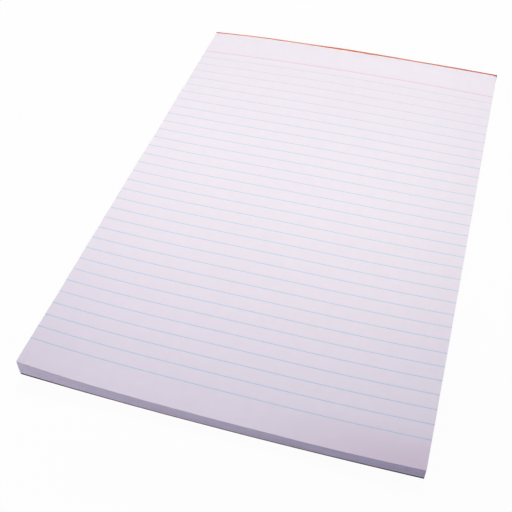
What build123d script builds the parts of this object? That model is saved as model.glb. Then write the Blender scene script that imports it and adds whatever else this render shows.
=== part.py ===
from build123d import *
import os

os.makedirs("parts", exist_ok=True)

# Driving dimensions of a ruled writing pad that is gummed along its head, in millimetres.
# The pad lies flat, with its foot towards -Y, its gummed head towards +Y and the ruling on top.

# Sheets and back
sheet_width = 210.0
sheet_length = 297.0
leaf_count = 100
leaf_thickness = 0.095
board_thickness = 1.0

# Gum brushed over the whole head edge
gum_thickness = 0.7
gum_edge_radius = 0.3

# Easy warp that the pad has taken: the sides of the free foot curl up, the loose leaves stand
# up further still at the left foot corner, where they have been thumbed, and they swell in the
# middle of the head, where the gum has drawn them together
rest_strip_width = 60.0
foot_curl = 4.0
corner_spring = 3.4
head_crown = 3.1

# Printed ruling, measured along the sheet
rule_pitch = 8.1
head_margin = 30.7
foot_margin = 15.0
header_gap = 7.0
rule_width = 0.35
ink_film = 0.1

# Sizes that follow from them
half_width = sheet_width / 2
half_rest = rest_strip_width / 2
block_thickness = leaf_count * leaf_thickness
head_y = (sheet_length - gum_thickness) / 2
rule_count = int((sheet_length - head_margin - foot_margin) / rule_pitch) + 1

# Each surface of the stack is given by its level at the middle of the foot, the rises of its
# left and right foot corners and the rise of the middle of its head
board_underside = (0.0, foot_curl, foot_curl, 0.0)
board_face = (board_thickness, foot_curl, foot_curl, 0.0)
top_level = board_thickness + block_thickness
top_leaf = (top_level, foot_curl + corner_spring, foot_curl, head_crown)
top_of_ink = (top_level + ink_film, foot_curl + corner_spring, foot_curl, head_crown)


def curve_or_line(start, bend, end):
    """Parabola from start to end, drawn towards bend, or a straight line where it has no bend."""
    middle = (start + end) / 2
    if (bend - middle).length < 1e-9:
        return Line(start, end)
    return Bezier(start, bend, end)


def across(surface, from_head):
    """Three curves that cross a surface of the stack, left to right, at a distance from its head.

    The middle one spans the strip that the pad rests on, and the outer two curl up tangent to it.
    The curl grows evenly from nothing at the head, and the crown fades evenly towards the foot.
    """
    level, left_curl, right_curl, crown = surface
    share = from_head / sheet_length
    middle_rise = crown * (1 - share)
    y = head_y - from_head

    def crown_height(x1, x2):
        """Height of the crown at x1 = x2, or of its bend point between two places."""
        return level + middle_rise * (1 - x1 * x2 / half_width**2)

    side_bend_x = (half_width + half_rest) / 2
    outer_left = Vector(-half_width, y, level + left_curl * share)
    bend_left = Vector(-side_bend_x, y, crown_height(half_width, half_rest))
    inner_left = Vector(-half_rest, y, crown_height(half_rest, half_rest))
    bend_middle = Vector(0, y, crown_height(-half_rest, half_rest))
    inner_right = Vector(half_rest, y, crown_height(half_rest, half_rest))
    bend_right = Vector(side_bend_x, y, crown_height(half_width, half_rest))
    outer_right = Vector(half_width, y, level + right_curl * share)
    return [
        curve_or_line(outer_left, bend_left, inner_left),
        curve_or_line(inner_left, bend_middle, inner_right),
        curve_or_line(inner_right, bend_right, outer_right),
    ]


def outline(lower, upper, from_head):
    """Closed outline across the pad, between two surfaces of the stack."""
    below = across(lower, from_head)
    above = across(upper, from_head)
    left_side = Line(below[0] @ 0, above[0] @ 0)
    right_side = Line(below[-1] @ 1, above[-1] @ 1)
    return Wire(below + [right_side] + above + [left_side])


def layer(lower, upper, start, end):
    """Solid between two surfaces of the stack, from one distance from the head to another."""
    sections = [outline(lower, upper, start), outline(lower, upper, end)]
    return Solid.make_loft(sections, ruled=True)


def printed_line(from_head):
    """One line of ink that runs from edge to edge over the top leaf."""
    return layer(top_leaf, top_of_ink, from_head - rule_width / 2, from_head + rule_width / 2)


# Greyboard back, flat along its middle and curled up at the foot corners
backing_board = layer(board_underside, board_face, 0, sheet_length)

# Block of ruled leaves, trimmed flush with the board on all four sides
ruled_leaves = layer(board_face, top_leaf, 0, sheet_length)

# Gum over the head edge of the leaves and the board, with soft outer edges
head_edge = Face(outline(board_underside, top_leaf, 0))
gum_film = extrude(head_edge, gum_thickness, dir=(0, 1, 0))
gum_rim = gum_film.faces().sort_by(Axis.Y)[-1].edges()
head_gum = fillet(gum_rim, gum_edge_radius)

# Header rule above the writing lines
header_rule = printed_line(head_margin - header_gap)

# Writing lines, evenly spaced down the sheet
feint_rules = Compound([printed_line(head_margin + rule * rule_pitch) for rule in range(rule_count)])

export_step(backing_board, "parts/backing_board.step")
export_step(ruled_leaves, "parts/ruled_leaves.step")
export_step(head_gum, "parts/head_gum.step")
export_step(header_rule, "parts/header_rule.step")
export_step(feint_rules, "parts/feint_rules.step")
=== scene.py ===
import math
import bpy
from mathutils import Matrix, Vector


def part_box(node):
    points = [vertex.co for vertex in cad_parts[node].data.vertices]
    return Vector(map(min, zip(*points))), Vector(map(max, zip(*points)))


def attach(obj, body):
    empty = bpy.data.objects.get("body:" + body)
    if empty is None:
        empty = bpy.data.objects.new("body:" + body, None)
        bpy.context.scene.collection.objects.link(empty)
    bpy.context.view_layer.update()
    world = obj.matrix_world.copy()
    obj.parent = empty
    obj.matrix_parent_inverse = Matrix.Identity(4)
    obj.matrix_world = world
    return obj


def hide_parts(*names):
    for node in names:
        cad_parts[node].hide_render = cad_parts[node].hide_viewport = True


bl_info = {
    "name": "Gummed writing pad",
    "version": (1, 0, 0),
    "blender": (4, 5, 0),
    "location": "View3D > Sidebar > Writing pad",
    "description": "Dresses the frame of a ruled A4 writing pad that is gummed along its head",
    "category": "Object",
}

import bmesh
import bpy
from bpy.props import FloatProperty, IntProperty, PointerProperty, StringProperty
from mathutils import Matrix, Vector, noise

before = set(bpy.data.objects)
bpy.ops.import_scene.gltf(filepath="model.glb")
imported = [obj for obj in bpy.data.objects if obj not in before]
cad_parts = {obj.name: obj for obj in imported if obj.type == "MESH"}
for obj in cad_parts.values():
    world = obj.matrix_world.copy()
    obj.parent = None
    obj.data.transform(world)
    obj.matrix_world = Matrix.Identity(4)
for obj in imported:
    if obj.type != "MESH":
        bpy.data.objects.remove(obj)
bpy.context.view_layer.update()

MM = 0.001
BODY = "root"

# The sheet's outline, as the frame holds it
leaves_low, leaves_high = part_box("ruled_leaves")
gum_low, gum_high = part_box("head_gum")
HALF_WIDTH = leaves_high.x
HEAD_Y = leaves_high.y
FOOT_Y = leaves_low.y
SHEET_LENGTH = HEAD_Y - FOOT_Y
GUM_THICKNESS = gum_high.y - gum_low.y


class PadShape(bpy.types.PropertyGroup):
    """Sizes of the stack and of the easy warp that it has taken."""

    board_thickness: FloatProperty(
        name="Board thickness", description="Thickness of the greyboard", default=1.0 * MM, unit="LENGTH"
    )
    leaf_count: IntProperty(name="Leaves", description="Number of leaves in the block", default=100)
    leaf_thickness: FloatProperty(
        name="Leaf thickness",
        description="Thickness of one leaf of bond",
        default=0.095 * MM,
        unit="LENGTH",
    )
    rest_strip: FloatProperty(
        name="Rest strip",
        description="Width of the flat strip under the board",
        default=60 * MM,
        unit="LENGTH",
    )
    foot_curl: FloatProperty(
        name="Foot curl", description="How far the foot corners curl up", default=4.0 * MM, unit="LENGTH"
    )
    corner_spring: FloatProperty(
        name="Corner spring",
        description="How far the loose leaves stand up more than the board at the left foot corner",
        default=3.4 * MM,
        unit="LENGTH",
    )
    foot_lift: FloatProperty(
        name="Foot lift",
        description="How far the loose leaves stand up along the left half of the foot",
        default=1.0 * MM,
        unit="LENGTH",
    )
    head_crown: FloatProperty(
        name="Head crown",
        description="Swell of the leaves in the middle of the head",
        default=3.1 * MM,
        unit="LENGTH",
    )
    head_pinch: FloatProperty(
        name="Head pinch",
        description="How far the gum has drawn the swell down right at the head",
        default=1.0 * MM,
        unit="LENGTH",
    )
    leaf_groove: FloatProperty(
        name="Leaf groove",
        description="Depth of the groove between two edges",
        default=0.03 * MM,
        unit="LENGTH",
    )
    gap_depth: FloatProperty(
        name="Gap depth",
        description="How deep the gaps of loose leaves go",
        default=0.5 * MM,
        unit="LENGTH",
    )
    trim_step: FloatProperty(
        name="Trim step",
        description="How far leaves stand back from the cut",
        default=0.05 * MM,
        unit="LENGTH",
    )
    corner_slip: FloatProperty(
        name="Corner slip",
        description="How far the top leaf has slid in at the sprung corner",
        default=0.5 * MM,
        unit="LENGTH",
    )
    sag_depth: FloatProperty(
        name="Side sag",
        description="How much lower the left side lies between the head and its sprung corner",
        default=2.3 * MM,
        unit="LENGTH",
    )
    sag_slide: FloatProperty(
        name="Side slide",
        description="How far the sagging side has slid out",
        default=1.8 * MM,
        unit="LENGTH",
    )
    corner_flare: FloatProperty(
        name="Corner flare",
        description="How far the board and the lowest leaf stand out under the sprung corner",
        default=2.2 * MM,
        unit="LENGTH",
    )
    corner_swell: FloatProperty(
        name="Corner swelling",
        description="Share by which the board has swollen at its foot corners",
        default=0.45,
        subtype="FACTOR",
    )
    board_rim: FloatProperty(
        name="Board rim", description="Width of the board's soft rim", default=0.08 * MM, unit="LENGTH"
    )
    gum_rim: FloatProperty(
        name="Gum rim", description="Radius of the rim of the gum", default=0.18 * MM, unit="LENGTH"
    )
    gum_lip: FloatProperty(
        name="Gum lip",
        description="How far the gum stands above the top leaf",
        default=0.42 * MM,
        unit="LENGTH",
    )
    gum_overrun: FloatProperty(
        name="Gum overrun",
        description="How far the gum swells past the sides",
        default=0.3 * MM,
        unit="LENGTH",
    )


class PadRuling(bpy.types.PropertyGroup):
    """Sizes of the printed lines, measured from the head of the sheet."""

    pitch: FloatProperty(
        name="Pitch", description="Distance between two writing lines", default=8.1 * MM, unit="LENGTH"
    )
    head_margin: FloatProperty(
        name="Head margin",
        description="Distance from head to first line",
        default=30.7 * MM,
        unit="LENGTH",
    )
    header_gap: FloatProperty(
        name="Header gap",
        description="Distance from header rule to first line",
        default=7.0 * MM,
        unit="LENGTH",
    )
    line_count: IntProperty(name="Lines", description="Number of writing lines", default=32)
    line_width: FloatProperty(
        name="Line width", description="Width of a line", default=0.42 * MM, unit="LENGTH"
    )
    ink_film: FloatProperty(
        name="Ink film",
        description="Height of the ink above the paper",
        default=0.025 * MM,
        unit="LENGTH",
    )


class PadColours(bpy.types.PropertyGroup):
    """Colours as sRGB hex values."""

    paper: StringProperty(name="Paper", description="Face of the bond paper", default="#F1EAF2")
    # Painted shade: the paper's colour where it darkens towards the right foot corner
    paper_painted_shade: StringProperty(
        name="Thumbed paper", description="Paper at the corner where leaves are turned", default="#E7DAE5"
    )
    # The cut edges are a little darker than the face, as painted shade from between the leaves
    paper_cut: StringProperty(
        name="Cut edges", description="Trimmed edges of the leaves", default="#E8DDE5"
    )
    paper_cool: StringProperty(
        name="Cool cut edges", description="Bundles of bluer leaves", default="#DCDEE9"
    )
    blue_ink: StringProperty(name="Blue ink", description="Writing lines", default="#BFD8EC")
    pink_ink: StringProperty(name="Pink ink", description="Header rule", default="#EDBBDB")
    gum_end: StringProperty(
        name="Gum at the end", description="Where the brush was set down", default="#DA4833"
    )
    gum_thin: StringProperty(
        name="Thin gum", description="Where the gum is brushed out", default="#F57A30"
    )
    gum_thick: StringProperty(
        name="Thick gum", description="Where the brush was lifted", default="#E8553F"
    )
    board: StringProperty(
        name="Greyboard", description="Pressed faces of the backing board", default="#8C8078"
    )
    # The cut edge is darker than the faces, partly from its crushed pulp and partly as painted shade
    board_cut: StringProperty(
        name="Board edge", description="Sheared edge of the backing board", default="#80503F"
    )
    floor: StringProperty(name="Floor", description="Plain table top", default="#E2E2E2")


class PadStage(bpy.types.PropertyGroup):
    """Light and floor."""

    world_strength: FloatProperty(
        name="World", description="Strength of the soft surroundings", default=0.276
    )
    world_tint: StringProperty(
        name="World tint", description="Colour of the surroundings", default="#C1B8FF"
    )
    key_power: FloatProperty(
        name="Key power", description="Power of the overhead soft box", default=0.714, unit="POWER"
    )
    key_tint: StringProperty(
        name="Key tint", description="Colour of the overhead soft box", default="#FDFFEB"
    )
    key_spread: FloatProperty(
        name="Key spread",
        description="Angle that the soft box's grid leaves open",
        default=math.radians(36.8),
        unit="ROTATION",
    )
    fill_power: FloatProperty(
        name="Fill power", description="Power of the low soft box", default=0.333, unit="POWER"
    )
    fill_tint: StringProperty(
        name="Fill tint", description="Colour of the low soft box", default="#FFF9F9"
    )
    floor_size: FloatProperty(
        name="Floor size", description="Side of the floor", default=8.0, unit="LENGTH"
    )


def settings():
    """The settings that the panel shows."""
    return bpy.context.scene.writing_pad


def linear(hex_colour):
    """Linear RGBA of an sRGB hex colour."""
    channels = [int(hex_colour[i : i + 2], 16) / 255 for i in (1, 3, 5)]
    return [c / 12.92 if c <= 0.04045 else ((c + 0.055) / 1.055) ** 2.4 for c in channels] + [1.0]


def per_mm(size):
    """Scale of a texture whose features are size millimetres across."""
    return 1000.0 / size


def smooth_step(value):
    """Eases from 0 to 1."""
    value = min(max(value, 0.0), 1.0)
    return value * value * (3 - 2 * value)


# Surfaces of the stack, as in the frame, with the finer shape that its ruled surfaces leave out.
# Each curl starts at a distance from the middle of the pad and steepens by a power.
LEAF_BEND = 2.0
BOARD_START_LEFT = 15 * MM
BOARD_BEND_LEFT = 1.9
BOARD_START_RIGHT = 5 * MM
BOARD_BEND_RIGHT = 1.8

# Where the gum draws the head's swell down, and how far down the sheet that reaches
PINCH_MIDDLE = 18 * MM
PINCH_HALF_WIDTH = 86 * MM
PINCH_REACH = 14 * MM

# Where the left side starts to sag, how it steepens, and the greatest value of share**3 * (1 - share)
SAG_START = 36 * MM
SAG_BEND = 1.4
SAG_PEAK = 27 / 256

# Width over which the lift of the foot grows to the left, and the share of the way down where it starts
LIFT_WIDTH = 45 * MM
LIFT_START = 0.84


def share_to_foot(y):
    """0 at the head of the sheet and 1 at its foot."""
    return (HEAD_Y - y) / SHEET_LENGTH


def curl_beyond(x, y, start, power):
    """Share of the foot curl at a place: nothing up to a distance from the middle, then ever steeper."""
    beyond = max(0.0, abs(x) - start) / (HALF_WIDTH - start)
    return share_to_foot(y) * beyond**power


def side_curl(x, y):
    """Share of the foot curl that the top leaf has at a place."""
    return curl_beyond(x, y, settings().shape.rest_strip / 2, LEAF_BEND)


def board_height(x, y, level):
    """Height of a level of the board, which curls up sooner on the right and swells at its corners."""
    shape = settings().shape
    if x < 0:
        curl = curl_beyond(x, y, BOARD_START_LEFT, BOARD_BEND_LEFT)
    else:
        curl = curl_beyond(x, y, BOARD_START_RIGHT, BOARD_BEND_RIGHT)
    return level * (1 + shape.corner_swell * curl) + shape.foot_curl * curl


def closed_height(x, y):
    """Height of the top leaf without its spring."""
    shape = settings().shape
    level = shape.board_thickness + shape.leaf_count * shape.leaf_thickness
    crown = shape.head_crown * (1 - share_to_foot(y)) * (1 - (x / HALF_WIDTH) ** 2)
    pinch = shape.head_pinch * max(0.0, 1 - ((x - PINCH_MIDDLE) / PINCH_HALF_WIDTH) ** 2)
    near_gum = math.exp(-(((HEAD_Y - y) / PINCH_REACH) ** 2))
    return level + shape.foot_curl * side_curl(x, y) + crown - pinch * near_gum


def side_sag(x, y):
    """Share of the deepest sag of the left side, which lies lower between head and sprung corner."""
    share = share_to_foot(y)
    along = share**3 * (1 - share) / SAG_PEAK
    beyond = max(0.0, -x - SAG_START) / (HALF_WIDTH - SAG_START)
    return along * beyond**SAG_BEND


def spring_height(x, y):
    """How far the loose leaves have sprung apart at a place, less their sag, on the left only."""
    if x > 0:
        return 0.0
    shape = settings().shape
    near_foot = smooth_step((share_to_foot(y) - LIFT_START) / (1 - LIFT_START))
    lift = shape.foot_lift * smooth_step(-x / LIFT_WIDTH) * near_foot
    return shape.corner_spring * side_curl(x, y) + lift - shape.sag_depth * side_sag(x, y)


def leaf_height(x, y):
    """Height of the top leaf."""
    return closed_height(x, y) + spring_height(x, y)


def slip_across(x, y, part):
    """How far a leaf has slid at a place, on the left only, for its part of the way up to the top leaf."""
    shape = settings().shape
    if x > 0:
        return 0.0
    flare = side_curl(x, y) * (part * (shape.corner_slip + shape.corner_flare) - shape.corner_flare)
    return flare - part * shape.sag_slide * side_sag(x, y)


# Mesh tools

# Angle in degrees past which an edge is sharp
SHARP_ANGLE = 50


def edges_along(bm, axis):
    """Edges of a slab that run along an axis."""
    found = []
    for edge in bm.edges:
        run = edge.verts[1].co - edge.verts[0].co
        if abs(run[axis]) > 0.99 * run.length:
            found.append(edge)
    return found


def slab(cuts):
    """A cube from -1 to 1, cut into rows along each axis."""
    bm = bmesh.new()
    bmesh.ops.create_cube(bm, size=2.0)
    for axis, count in enumerate(cuts):
        if count > 1:
            bmesh.ops.subdivide_edges(bm, edges=edges_along(bm, axis), cuts=count - 1, use_grid_fill=True)
    return bm


def soften_rim(bm, width, segments):
    """Rounds every sharp edge of a closed mesh."""
    rim = [edge for edge in bm.edges if edge.calc_face_angle(0) > math.radians(SHARP_ANGLE)]
    bmesh.ops.bevel(
        bm,
        geom=rim,
        offset=width,
        segments=segments,
        profile=0.5,
        affect="EDGES",
        clamp_overlap=True,
        material=-1,
    )


def finish_piece(bm, name, materials, node):
    """Turns a finished bmesh into a piece that rides on the pad and stands for its node."""
    for face in bm.faces:
        face.smooth = True
    for edge in bm.edges:
        edge.smooth = len(edge.link_faces) == 2 and edge.calc_face_angle(0) < math.radians(SHARP_ANGLE)
    mesh = bpy.data.meshes.new(name)
    bm.to_mesh(mesh)
    bm.free()
    piece = bpy.data.objects.new(name, mesh)
    bpy.context.scene.collection.objects.link(piece)
    for material in materials:
        mesh.materials.append(material)
    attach(piece, BODY)
    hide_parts(node)


# Materials

# Values between which most of a noise pattern lies
NOISE_RANGE = (0.3, 0.7)

WHITE = (1.0, 1.0, 1.0, 1.0)


def add_node(tree, kind, inputs=None, **attributes):
    """Adds a node to a tree, with its settings, input values and links."""
    made = tree.nodes.new(kind)
    for name, value in attributes.items():
        setattr(made, name, value)
    for socket, value in (inputs or {}).items():
        if isinstance(value, bpy.types.NodeSocket):
            tree.links.new(value, made.inputs[socket])
        else:
            made.inputs[socket].default_value = value
    return made


def new_material(name):
    """An empty material with its output and shader."""
    material = bpy.data.materials.new(name)
    material.use_nodes = True
    tree = material.node_tree
    tree.nodes.clear()
    output = add_node(tree, "ShaderNodeOutputMaterial")
    shader = add_node(tree, "ShaderNodeBsdfPrincipled")
    tree.links.new(shader.outputs["BSDF"], output.inputs["Surface"])
    return material, tree, shader


def ranged(tree, value, start, end, first, last, **attributes):
    """A value brought from the range start to end to the range first to last."""
    limits = {"Value": value, "From Min": start, "From Max": end, "To Min": first, "To Max": last}
    return add_node(tree, "ShaderNodeMapRange", limits, **attributes).outputs["Result"]


def cloud_shade(tree, place, size, detail, darkest, lightest):
    """A noise pattern whose features are size millimetres across, as a factor between two shades."""
    look = {"Vector": place, "Scale": per_mm(size), "Detail": detail, "Roughness": 0.6}
    cloud = add_node(tree, "ShaderNodeTexNoise", look)
    return ranged(tree, cloud.outputs["Fac"], *NOISE_RANGE, darkest, lightest)


def streak_shade(tree, place, sizes, detail, darkest, lightest):
    """The same with features of different sizes along the three axes."""
    stretch = [per_mm(size) for size in sizes]
    stretched = add_node(tree, "ShaderNodeMapping", {"Vector": place, "Scale": stretch})
    look = {"Vector": stretched.outputs["Vector"], "Scale": 1.0, "Detail": detail, "Roughness": 0.6}
    streaks = add_node(tree, "ShaderNodeTexNoise", look)
    return ranged(tree, streaks.outputs["Fac"], *NOISE_RANGE, darkest, lightest)


def shaded(tree, colour, shade):
    """A colour made lighter or darker by a factor."""
    scaled = add_node(tree, "ShaderNodeVectorMath", {0: colour, "Scale": shade}, operation="SCALE")
    return scaled.outputs["Vector"]


def mixed(tree, factor, first, second):
    """A colour between two others."""
    mix = add_node(tree, "ShaderNodeMix", data_type="RGBA")
    for socket, value in zip((mix.inputs[0], mix.inputs[6], mix.inputs[7]), (factor, first, second)):
        if isinstance(value, bpy.types.NodeSocket):
            tree.links.new(value, socket)
        else:
            socket.default_value = value
    return mix.outputs[2]


def object_place(tree):
    """Object coordinates, in metres, as the pieces are all modelled at their own place."""
    return add_node(tree, "ShaderNodeTexCoord").outputs["Object"]


def rough_surface(tree, shader, height, strength, distance):
    """Lets a pattern of heights, distance deep, catch the light."""
    bump = add_node(tree, "ShaderNodeBump", {"Height": height, "Strength": strength, "Distance": distance})
    tree.links.new(bump.outputs["Normal"], shader.inputs["Normal"])


# How far up from the foot the paper carries painted shade, which deepens towards the right foot corner
PAINTED_SHADE_DEPTH = 24 * MM


def bond_paper(name, colour, painted_shade_colour):
    """Uncoated bond, made on a wire and calendered: matt, faintly cloudy, with painted shade at the right
    foot corner.
    """
    material, tree, shader = new_material(name)
    place = object_place(tree)
    parts = add_node(tree, "ShaderNodeSeparateXYZ", {"Vector": place})
    ease = {"interpolation_type": "SMOOTHSTEP"}
    # Painted shade, growing towards the right side and towards the foot
    to_right = ranged(tree, parts.outputs["X"], 0.0, HALF_WIDTH, 0.0, 1.0, **ease)
    to_foot = ranged(tree, parts.outputs["Y"], FOOT_Y + PAINTED_SHADE_DEPTH, FOOT_Y, 0.0, 1.0, **ease)
    painted_shade_mask = add_node(tree, "ShaderNodeMath", {0: to_right, 1: to_foot}, operation="MULTIPLY")
    tint = mixed(tree, painted_shade_mask.outputs["Value"], linear(colour), linear(painted_shade_colour))
    formation = cloud_shade(tree, place, size=6.0, detail=4.0, darkest=0.985, lightest=1.01)
    tree.links.new(shaded(tree, tint, formation), shader.inputs["Base Color"])
    fibres = {"Vector": place, "Scale": per_mm(0.5), "Detail": 3.0, "Roughness": 0.55}
    grain = add_node(tree, "ShaderNodeTexNoise", fibres)
    rough_surface(tree, shader, grain.outputs["Fac"], strength=0.12, distance=0.05 * MM)
    shader.inputs["Roughness"].default_value = 0.88
    shader.inputs["Specular IOR Level"].default_value = 0.3
    return material


def cut_edges(name, colour, cool_colour):
    """Guillotined edges of a stack of leaves: fine lines along the stack, in warmer and cooler bundles,
    with painted shade from between the leaves.
    """
    material, tree, shader = new_material(name)
    place = add_node(tree, "ShaderNodeUVMap", uv_map="edge").outputs["UV"]
    cool_share = streak_shade(tree, place, (45.0, 1.6, 1.0), detail=2.0, darkest=0.1, lightest=0.9)
    tint = mixed(tree, cool_share, linear(colour), linear(cool_colour))
    bundles = streak_shade(tree, place, (40.0, 1.2, 1.0), detail=3.0, darkest=0.93, lightest=1.06)
    leaves = streak_shade(tree, place, (25.0, 0.2, 1.0), detail=1.0, darkest=0.92, lightest=1.06)
    tree.links.new(shaded(tree, shaded(tree, tint, bundles), leaves), shader.inputs["Base Color"])
    shader.inputs["Roughness"].default_value = 0.95
    shader.inputs["Specular IOR Level"].default_value = 0.2
    return material


# Distances from the head between which the printed lines go from washed out by painted light to their full
# strength, and the share of each ink that the painted light washes out at the first of them
PALE_PRINT = 38 * MM
FULL_PRINT = 95 * MM
BLUE_PALENESS = 0.4
PINK_PALENESS = 0.0


def printed_ink(name, colour, paper, paleness):
    """Offset ink that has sunk into the sheet: matt, a little uneven, and washed out by painted light
    towards the head.
    """
    material, tree, shader = new_material(name)
    place = object_place(tree)
    parts = add_node(tree, "ShaderNodeSeparateXYZ", {"Vector": place})
    # Painted light: the ink is mixed towards the paper's colour nearer the head
    painted_wash = ranged(tree, parts.outputs["Y"], HEAD_Y - FULL_PRINT, HEAD_Y - PALE_PRINT, 0.0, paleness)
    tint = mixed(tree, painted_wash, linear(colour), linear(paper))
    density = cloud_shade(tree, place, size=1.5, detail=3.0, darkest=0.95, lightest=1.04)
    tree.links.new(shaded(tree, tint, density), shader.inputs["Base Color"])
    shader.inputs["Roughness"].default_value = 0.85
    shader.inputs["Specular IOR Level"].default_value = 0.3
    return material


# Values of the noise at which the pulp is dark, plain and light, and the shades of its dark and light
# fibres as factors of the plain colour
DARK_PULP = 0.32
PLAIN_PULP = 0.46
LIGHT_PULP = 0.7
DARK_FIBRE = 0.45
LIGHT_FIBRE = 1.5

# Distances in from the sides between which painted shade darkens the board, and the share of its shade
# that is left there on its faces and on its cut edge
SIDE_SHADE_DEPTH = 60 * MM
DARKEST_DEPTH = 8 * MM
SIDE_SHADE_FACE = 0.95
SIDE_SHADE_EDGE = 0.35


def greyboard(name, colour, corner_shade):
    """Recycled pulp board, rolled from plies: dull, flecked with fibre, cut edge darker from crushed pulp
    and painted shade, painted shade towards its sides.
    """
    material, tree, shader = new_material(name)
    place = object_place(tree)
    pulp = {"Vector": place, "Scale": per_mm(0.8), "Detail": 6.0, "Roughness": 0.8}
    flecks = add_node(tree, "ShaderNodeTexNoise", pulp)
    ramp = add_node(tree, "ShaderNodeValToRGB", {"Fac": flecks.outputs["Fac"]})
    base = linear(colour)
    ramp.color_ramp.elements[0].position = DARK_PULP
    ramp.color_ramp.elements[0].color = [c * DARK_FIBRE for c in base[:3]] + [1.0]
    ramp.color_ramp.elements[1].position = LIGHT_PULP
    ramp.color_ramp.elements[1].color = [min(1.0, c * LIGHT_FIBRE) for c in base[:3]] + [1.0]
    ramp.color_ramp.elements.new(PLAIN_PULP).color = base
    plies = streak_shade(tree, place, (30.0, 30.0, 0.3), detail=2.0, darkest=0.85, lightest=1.1)
    fibre = shaded(tree, ramp.outputs["Color"], plies)
    parts = add_node(tree, "ShaderNodeSeparateXYZ", {"Vector": place})
    # Painted shade: darker towards the left and right sides
    aside = add_node(tree, "ShaderNodeMath", {0: parts.outputs["X"]}, operation="ABSOLUTE")
    start = HALF_WIDTH - SIDE_SHADE_DEPTH
    painted_side_shade = ranged(tree, aside.outputs["Value"], start, HALF_WIDTH - DARKEST_DEPTH, 1.0, corner_shade)
    tree.links.new(shaded(tree, fibre, painted_side_shade), shader.inputs["Base Color"])
    rough_surface(tree, shader, flecks.outputs["Fac"], strength=0.3, distance=0.1 * MM)
    shader.inputs["Roughness"].default_value = 0.95
    shader.inputs["Specular IOR Level"].default_value = 0.2
    return material


# Shares of the way from the left end to the right between which the gum is thin, and where it is thick
THIN_GUM = (0.08, 0.66)
THICK_GUM = 0.88


def padding_gum(name, end, thin, thick):
    """Red PVA padding compound, brushed along the head in strokes and dried to a rubbery sheen."""
    material, tree, shader = new_material(name)
    place = object_place(tree)
    parts = add_node(tree, "ShaderNodeSeparateXYZ", {"Vector": place})
    across = ranged(tree, parts.outputs["X"], -HALF_WIDTH, HALF_WIDTH, 0.0, 1.0)
    drift = streak_shade(tree, place, (40.0, 9.0, 9.0), detail=2.0, darkest=-0.08, lightest=0.08)
    stroke = add_node(tree, "ShaderNodeMath", {0: across, 1: drift}, operation="ADD")
    ramp = add_node(tree, "ShaderNodeValToRGB", {"Fac": stroke.outputs["Value"]})
    ramp.color_ramp.elements[0].position = 0.0
    ramp.color_ramp.elements[0].color = linear(end)
    ramp.color_ramp.elements[1].position = THICK_GUM
    ramp.color_ramp.elements[1].color = linear(thick)
    for position in THIN_GUM:
        ramp.color_ramp.elements.new(position).color = linear(thin)
    depth = streak_shade(tree, place, (20.0, 3.0, 0.9), detail=2.0, darkest=0.9, lightest=1.06)
    tree.links.new(shaded(tree, ramp.outputs["Color"], depth), shader.inputs["Base Color"])
    ridges = streak_shade(tree, place, (12.0, 0.4, 0.25), detail=2.0, darkest=0.0, lightest=1.0)
    rough_surface(tree, shader, ridges, strength=0.3, distance=0.1 * MM)
    shader.inputs["Roughness"].default_value = 0.36
    return material


# Distances from the pad's middle between which the floor goes from keeping a little of its shadow to
# plain white, and how white the camera sees it at the first of them
SHADOW_REACH = 0.16
WHITE_REACH = 0.4
NEAR_WHITE = 0.96


def plain_floor(name, colour):
    """Plain white table top that keeps the pad's shadow and looks white to the camera."""
    material, tree, shader = new_material(name)
    shader.inputs["Base Color"].default_value = linear(colour)
    shader.inputs["Roughness"].default_value = 0.9
    output = tree.nodes["Material Output"]
    white = add_node(tree, "ShaderNodeEmission", {"Color": WHITE, "Strength": 1.0}).outputs["Emission"]
    camera_ray = add_node(tree, "ShaderNodeLightPath").outputs["Is Camera Ray"]
    place = object_place(tree)
    away = add_node(tree, "ShaderNodeVectorMath", {0: place}, operation="LENGTH").outputs["Value"]
    clean = ranged(tree, away, SHADOW_REACH, WHITE_REACH, NEAR_WHITE, 1.0)
    seen = add_node(tree, "ShaderNodeMath", {0: camera_ray, 1: clean}, operation="MULTIPLY")
    layers = {0: seen.outputs["Value"], 1: shader.outputs["BSDF"], 2: white}
    mix = add_node(tree, "ShaderNodeMixShader", layers)
    tree.links.new(mix.outputs["Shader"], output.inputs["Surface"])
    return material


# Pieces

# Leaves under which the block opens a little where it is loose, counted from the board, and
# each one's part of the whole opening
LOOSE_LEAVES = {
    0: 0.08, 9: 0.03, 17: 0.06, 24: 0.03, 33: 0.07, 41: 0.05, 46: 0.04, 55: 0.09, 63: 0.06,
    70: 0.08, 76: 0.05, 81: 0.07, 87: 0.10, 92: 0.06, 96: 0.06, 99: 0.07,
}


def opening_below(leaf):
    """Part of the block's whole opening that lies below a leaf."""
    return sum(part for loose, part in LOOSE_LEAVES.items() if loose <= leaf)


# How a leaf's own place and the blade's drift along it share in the steps of the trimmed edges, and
# the places in the noise that they are drawn from
OWN_STEP = 0.35
DRIFT_STEP = 0.35
OWN_DRAW = 7.31
DRIFT_DRAW = 0.37
DRIFT_LENGTH = 40 * MM


def edge_step(leaf, along):
    """How far a leaf stands back from the trimmed edge at a place, from 0 to 1."""
    own = noise.noise(Vector((leaf * OWN_DRAW, 0.5, 0.0)))
    drift = noise.noise(Vector((leaf * DRIFT_DRAW, along / DRIFT_LENGTH, 3.0)))
    return 0.5 + OWN_STEP * own + DRIFT_STEP * drift


# Facets of the board across, along and through, and of the rounding of its rim
BOARD_FACETS = (42, 60, 6)
BOARD_RIM_FACETS = 2


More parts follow.
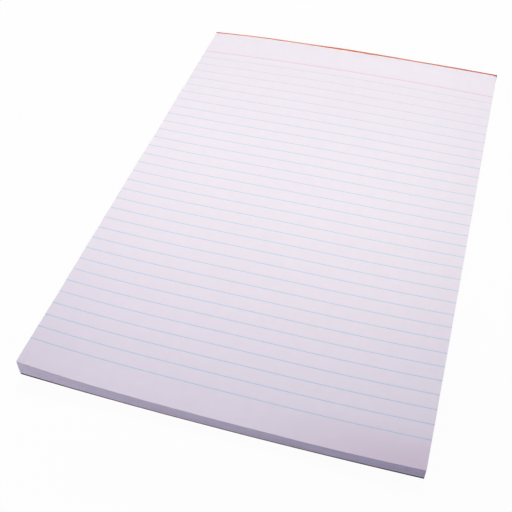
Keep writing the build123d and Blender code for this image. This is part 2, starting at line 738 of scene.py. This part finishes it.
class PAD_OT_add_board(bpy.types.Operator):
    """Adds the greyboard back, sheared to the size of the sheet and curled up at the foot corners"""

    bl_idname = "pad.add_board"
    bl_label = "Add backing board"

    def execute(self, context):
        shape = settings().shape
        bm = slab(BOARD_FACETS)
        for face in bm.faces:
            face.material_index = 0 if abs(face.normal.z) > 0.5 else 1
        for vert in bm.verts:
            x = vert.co.x * HALF_WIDTH
            y = FOOT_Y + (vert.co.y + 1) / 2 * SHEET_LENGTH
            level = (vert.co.z + 1) / 2 * shape.board_thickness
            vert.co = (x + slip_across(x, y, 0.0), y, board_height(x, y, level))
        soften_rim(bm, shape.board_rim, BOARD_RIM_FACETS)
        colours = settings().colours
        board = greyboard("recycled_greyboard", colours.board, SIDE_SHADE_FACE)
        board_edge = greyboard("recycled_greyboard_cut_edge", colours.board_cut, SIDE_SHADE_EDGE)
        finish_piece(bm, "backing_board_piece", [board, board_edge], "backing_board")
        return {"FINISHED"}


# Facets across a leaf, the same for the ink, so that it lies on the paper everywhere, and along it
ACROSS_LEAF = 48
ALONG_LEAF = 64

# Share of the way out past which a point is on a trimmed edge, and how many times a gap's height it is
# open inwards
ON_EDGE = 0.999
GAP_SHADOW = 2.5


class PAD_OT_add_leaves(bpy.types.Operator):
    """Adds the block of leaves, with every leaf's trimmed edge showing"""

    bl_idname = "pad.add_leaves"
    bl_label = "Add leaves"

    def execute(self, context):
        shape = settings().shape
        rows = 2 * shape.leaf_count
        bm = slab((ACROSS_LEAF, ALONG_LEAF, rows))
        unit = {vert: vert.co.copy() for vert in bm.verts}
        edge_map = bm.loops.layers.uv.new("edge")
        for face in bm.faces:
            on_side = abs(face.normal.x) > 0.5
            face.material_index = 0 if abs(face.normal.z) > 0.5 else 1
            for loop in face.loops:
                corner = unit[loop.vert]
                along = corner.y * SHEET_LENGTH / 2 if on_side else corner.x * HALF_WIDTH
                loop[edge_map].uv = (along, (corner.z + 1) / 2 * shape.leaf_count * shape.leaf_thickness)
        for vert in bm.verts:
            u, v, w = unit[vert]
            x = u * HALF_WIDTH
            y = FOOT_Y + (v + 1) / 2 * SHEET_LENGTH
            row = round((w + 1) / 2 * rows)
            leaf = row // 2
            between_leaves = row % 2 == 0 and 0 < row < rows
            spring = spring_height(x, y)
            opening = spring * opening_below(leaf)
            back = 0.0
            if 0 < row < rows:
                back = shape.trim_step * edge_step(leaf, x + y)
            if between_leaves:
                own_gap = max(0.0, spring) * LOOSE_LEAVES.get(leaf, 0.0)
                opening -= own_gap / 2
                back += shape.leaf_groove + min(shape.gap_depth, GAP_SHADOW * own_gap)
            level = (w + 1) / 2
            on_board = board_height(x, y, shape.board_thickness)
            z = (1 - level) * on_board + level * closed_height(x, y) + opening
            x += slip_across(x, y, (opening_below(leaf) + leaf / shape.leaf_count) / 2)
            if abs(u) > ON_EDGE:
                x -= math.copysign(back, u)
            if v < -ON_EDGE:
                y += back
            vert.co = (x, y, z)
        colours = settings().colours
        face_paper = bond_paper("bond_paper", colours.paper, colours.paper_painted_shade)
        edge_paper = cut_edges("bond_paper_cut_edges", colours.paper_cut, colours.paper_cool)
        finish_piece(bm, "ruled_leaves_piece", [face_paper, edge_paper], "ruled_leaves")
        return {"FINISHED"}


# Facets of the gum across, through and up, and of the rounding of its rim
GUM_FACETS = (140, 3, 36)
GUM_RIM_FACETS = 3

# Shares of the gum's body: one stroke, what a second one adds where they meet, what the brush adds
# where it lifts off, its unevenness along the head and that of its hairs
ONE_STROKE = 0.9
MEETING = 0.33
LIFTING = 0.16
UNEVEN_BODY = 0.08
HAIR_MARKS = 0.1

# Where the strokes meet and how far that reaches, where the brush begins to lift and over what length,
# the lengths of its unevenness and of the marks of its hairs, and how close those lie up the gum
MEETING_MIDDLE = 3 * MM
MEETING_REACH = 46 * MM
LIFTING_START = 20 * MM
LIFTING_LENGTH = 65 * MM
UNEVEN_LENGTH = 22 * MM
HAIR_LENGTH = 16 * MM
HAIRS_UP = 9


def gum_body(x):
    """How much gum the brush has left along the head: most where two strokes meet and at its end."""
    meeting = smooth_step(1 - abs(x - MEETING_MIDDLE) / MEETING_REACH)
    lifting = smooth_step((x - LIFTING_START) / LIFTING_LENGTH)
    uneven = noise.noise(Vector((x / UNEVEN_LENGTH, 4.0, 1.0)))
    return ONE_STROKE + MEETING * meeting + LIFTING * lifting + UNEVEN_BODY * uneven


class PAD_OT_add_gum(bpy.types.Operator):
    """Adds the film of padding gum over the head edge, with a low lip around the top leaf"""

    bl_idname = "pad.add_gum"
    bl_label = "Add head gum"

    def execute(self, context):
        shape = settings().shape
        bm = slab(GUM_FACETS)
        for vert in bm.verts:
            u, v, w = vert.co
            depth = (v + 1) / 2
            up = (w + 1) / 2
            x = u * (HALF_WIDTH + depth * shape.gum_overrun)
            body = gum_body(x)
            stroke = 1 + HAIR_MARKS * noise.noise(Vector((x / HAIR_LENGTH, up * HAIRS_UP, 2.0)))
            lip = shape.gum_lip * body**2
            z = up * (leaf_height(x, HEAD_Y) + lip)
            vert.co = (x, HEAD_Y + depth * GUM_THICKNESS * body * stroke, z)
        soften_rim(bm, shape.gum_rim, GUM_RIM_FACETS)
        colours = settings().colours
        gum = padding_gum("pva_padding_gum", colours.gum_end, colours.gum_thin, colours.gum_thick)
        finish_piece(bm, "head_gum_piece", [gum], "head_gum")
        return {"FINISHED"}


def printed_lines(distances):
    """A bmesh of thin strips of ink that follow the top leaf, at given distances from the head."""
    ruling = settings().ruling
    bm = slab((ACROSS_LEAF, 1, 1))
    strip = bm.verts[:] + bm.edges[:] + bm.faces[:]
    strips = [bm.verts[:]]
    for _ in distances[1:]:
        copied = bmesh.ops.duplicate(bm, geom=strip)["geom"]
        strips.append([item for item in copied if isinstance(item, bmesh.types.BMVert)])
    for from_head, verts in zip(distances, strips):
        for vert in verts:
            x = vert.co.x * HALF_WIDTH
            y = HEAD_Y - from_head + vert.co.y * ruling.line_width / 2
            z = leaf_height(x, y) + (vert.co.z + 1) / 2 * ruling.ink_film
            vert.co = (x + slip_across(x, y, 1.0), y, z)
    return bm


class PAD_OT_add_ruling(bpy.types.Operator):
    """Adds the header rule and the writing lines"""

    bl_idname = "pad.add_ruling"
    bl_label = "Add ruling"

    def execute(self, context):
        ruling = settings().ruling
        colours = settings().colours
        header = printed_lines([ruling.head_margin - ruling.header_gap])
        pink = printed_ink("pink_offset_ink", colours.pink_ink, colours.paper, PINK_PALENESS)
        finish_piece(header, "header_rule_piece", [pink], "header_rule")
        places = [ruling.head_margin + line * ruling.pitch for line in range(ruling.line_count)]
        lines = printed_lines(places)
        blue = printed_ink("blue_offset_ink", colours.blue_ink, colours.paper, BLUE_PALENESS)
        finish_piece(lines, "feint_rules_piece", [blue], "feint_rules")
        return {"FINISHED"}


# Camera of the photograph, in metres and degrees, with its sensor in millimetres
CAMERA_AZIMUTH = 17.18
CAMERA_ELEVATION = 52.46
CAMERA_ROLL = -1.91
CAMERA_DISTANCE = 0.4206
CAMERA_TARGET = Vector((0.01308, -0.03369, 0.0))
SENSOR_WIDTH = 36.0
FRAME_PIXELS = 512
FOCAL_PIXELS = 710.7
AXIS_PIXEL = (301.9, 256.5)


def add_camera():
    """Places the camera at the photograph's viewing angle."""
    azimuth = math.radians(CAMERA_AZIMUTH)
    elevation = math.radians(CAMERA_ELEVATION)
    level = math.cos(elevation)
    back = Vector((math.sin(azimuth) * level, -math.cos(azimuth) * level, math.sin(elevation)))
    data = bpy.data.cameras.new("camera")
    data.sensor_width = SENSOR_WIDTH
    data.lens = FOCAL_PIXELS / FRAME_PIXELS * SENSOR_WIDTH
    data.shift_x = (FRAME_PIXELS / 2 - AXIS_PIXEL[0]) / FRAME_PIXELS
    data.shift_y = (AXIS_PIXEL[1] - FRAME_PIXELS / 2) / FRAME_PIXELS
    camera = bpy.data.objects.new("camera", data)
    right = (-back).cross(Vector((0, 0, 1))).normalized()
    up = back.cross(right)
    turn = Matrix((right, up, back)).transposed().to_4x4()
    roll = Matrix.Rotation(math.radians(CAMERA_ROLL), 4, "Z")
    camera.matrix_world = Matrix.Translation(CAMERA_TARGET + back * CAMERA_DISTANCE) @ turn @ roll
    bpy.context.scene.collection.objects.link(camera)
    bpy.context.scene.camera = camera


# Places of the soft boxes, what they point at, and the lengths of their sides
KEY_PLACE = (0.02, 0.35, 0.6)
KEY_AIM = (-0.01, 0.098, 0.0)
KEY_SIZE = 0.5
FILL_PLACE = (-0.2, -0.324, 0.158)
FILL_AIM = (0.0, -0.1, 0.0)
FILL_SIZE = 0.25

# How far the floor lies below the pad's underside, so that the two faces never coincide
FLOOR_DROP = 0.05 * MM


def add_soft_box(name, place, aim, size, power, tint):
    """Adds a square soft box that points at a place, and returns its light."""
    light = bpy.data.lights.new(name, "AREA")
    light.shape = "SQUARE"
    light.size = size
    light.energy = power
    light.color = linear(tint)[:3]
    lamp = bpy.data.objects.new(name, light)
    lamp.location = place
    lamp.visible_camera = False
    lamp.rotation_mode = "QUATERNION"
    lamp.rotation_quaternion = (Vector(aim) - Vector(place)).to_track_quat("-Z", "Y")
    bpy.context.scene.collection.objects.link(lamp)
    return light


def add_surroundings(tint, strength):
    """Lights the pad softly from all sides, and looks white to the camera."""
    world = bpy.data.worlds.new("soft_surroundings")
    world.use_nodes = True
    tree = world.node_tree
    tree.nodes.clear()
    output = add_node(tree, "ShaderNodeOutputWorld")
    camera_ray = add_node(tree, "ShaderNodeLightPath").outputs["Is Camera Ray"]
    around = add_node(tree, "ShaderNodeBackground", {"Color": tint, "Strength": strength})
    white = add_node(tree, "ShaderNodeBackground", {"Color": WHITE, "Strength": 1.0})
    layers = {0: camera_ray, 1: around.outputs["Background"], 2: white.outputs["Background"]}
    sky = add_node(tree, "ShaderNodeMixShader", layers)
    tree.links.new(sky.outputs["Shader"], output.inputs["Surface"])
    bpy.context.scene.world = world


class PAD_OT_add_stage(bpy.types.Operator):
    """Adds the floor, the soft light and the camera"""

    bl_idname = "pad.add_stage"
    bl_label = "Add stage"

    def execute(self, context):
        stage = settings().stage
        bm = bmesh.new()
        bmesh.ops.create_grid(bm, x_segments=1, y_segments=1, size=stage.floor_size / 2)
        mesh = bpy.data.meshes.new("floor")
        bm.to_mesh(mesh)
        bm.free()
        floor = bpy.data.objects.new("floor", mesh)
        floor.location.z = -FLOOR_DROP
        mesh.materials.append(plain_floor("white_table", settings().colours.floor))
        context.scene.collection.objects.link(floor)

        key = add_soft_box("key_soft_box", KEY_PLACE, KEY_AIM, KEY_SIZE, stage.key_power, stage.key_tint)
        key.spread = stage.key_spread
        add_soft_box("fill_soft_box", FILL_PLACE, FILL_AIM, FILL_SIZE, stage.fill_power, stage.fill_tint)
        add_surroundings(linear(stage.world_tint), stage.world_strength)
        add_camera()
        context.scene.view_settings.view_transform = "Standard"
        return {"FINISHED"}


class WritingPad(bpy.types.PropertyGroup):
    """All the settings of the writing pad."""

    shape: PointerProperty(type=PadShape)
    ruling: PointerProperty(type=PadRuling)
    colours: PointerProperty(type=PadColours)
    stage: PointerProperty(type=PadStage)


STEPS = (PAD_OT_add_board, PAD_OT_add_leaves, PAD_OT_add_gum, PAD_OT_add_ruling, PAD_OT_add_stage)


class VIEW3D_PT_writing_pad(bpy.types.Panel):
    """Lists the settings and the steps that build the pad"""

    bl_label = "Writing pad"
    bl_idname = "VIEW3D_PT_writing_pad"
    bl_space_type = "VIEW_3D"
    bl_region_type = "UI"
    bl_category = "Writing pad"

    def draw(self, context):
        for group in (settings().shape, settings().ruling, settings().colours, settings().stage):
            box = self.layout.box()
            for name in group.__annotations__:
                box.prop(group, name)
        for step in STEPS:
            self.layout.operator(step.bl_idname)


CLASSES = (PadShape, PadRuling, PadColours, PadStage, WritingPad, *STEPS, VIEW3D_PT_writing_pad)


def register():
    for cls in CLASSES:
        bpy.utils.register_class(cls)
    bpy.types.Scene.writing_pad = PointerProperty(type=WritingPad)


def unregister():
    del bpy.types.Scene.writing_pad
    for cls in reversed(CLASSES):
        bpy.utils.unregister_class(cls)


def main():
    """Builds the pad and its stage."""
    register()
    bpy.ops.pad.add_board()
    bpy.ops.pad.add_leaves()
    bpy.ops.pad.add_gum()
    bpy.ops.pad.add_ruling()
    bpy.ops.pad.add_stage()


if __name__ == "__main__":
    main()
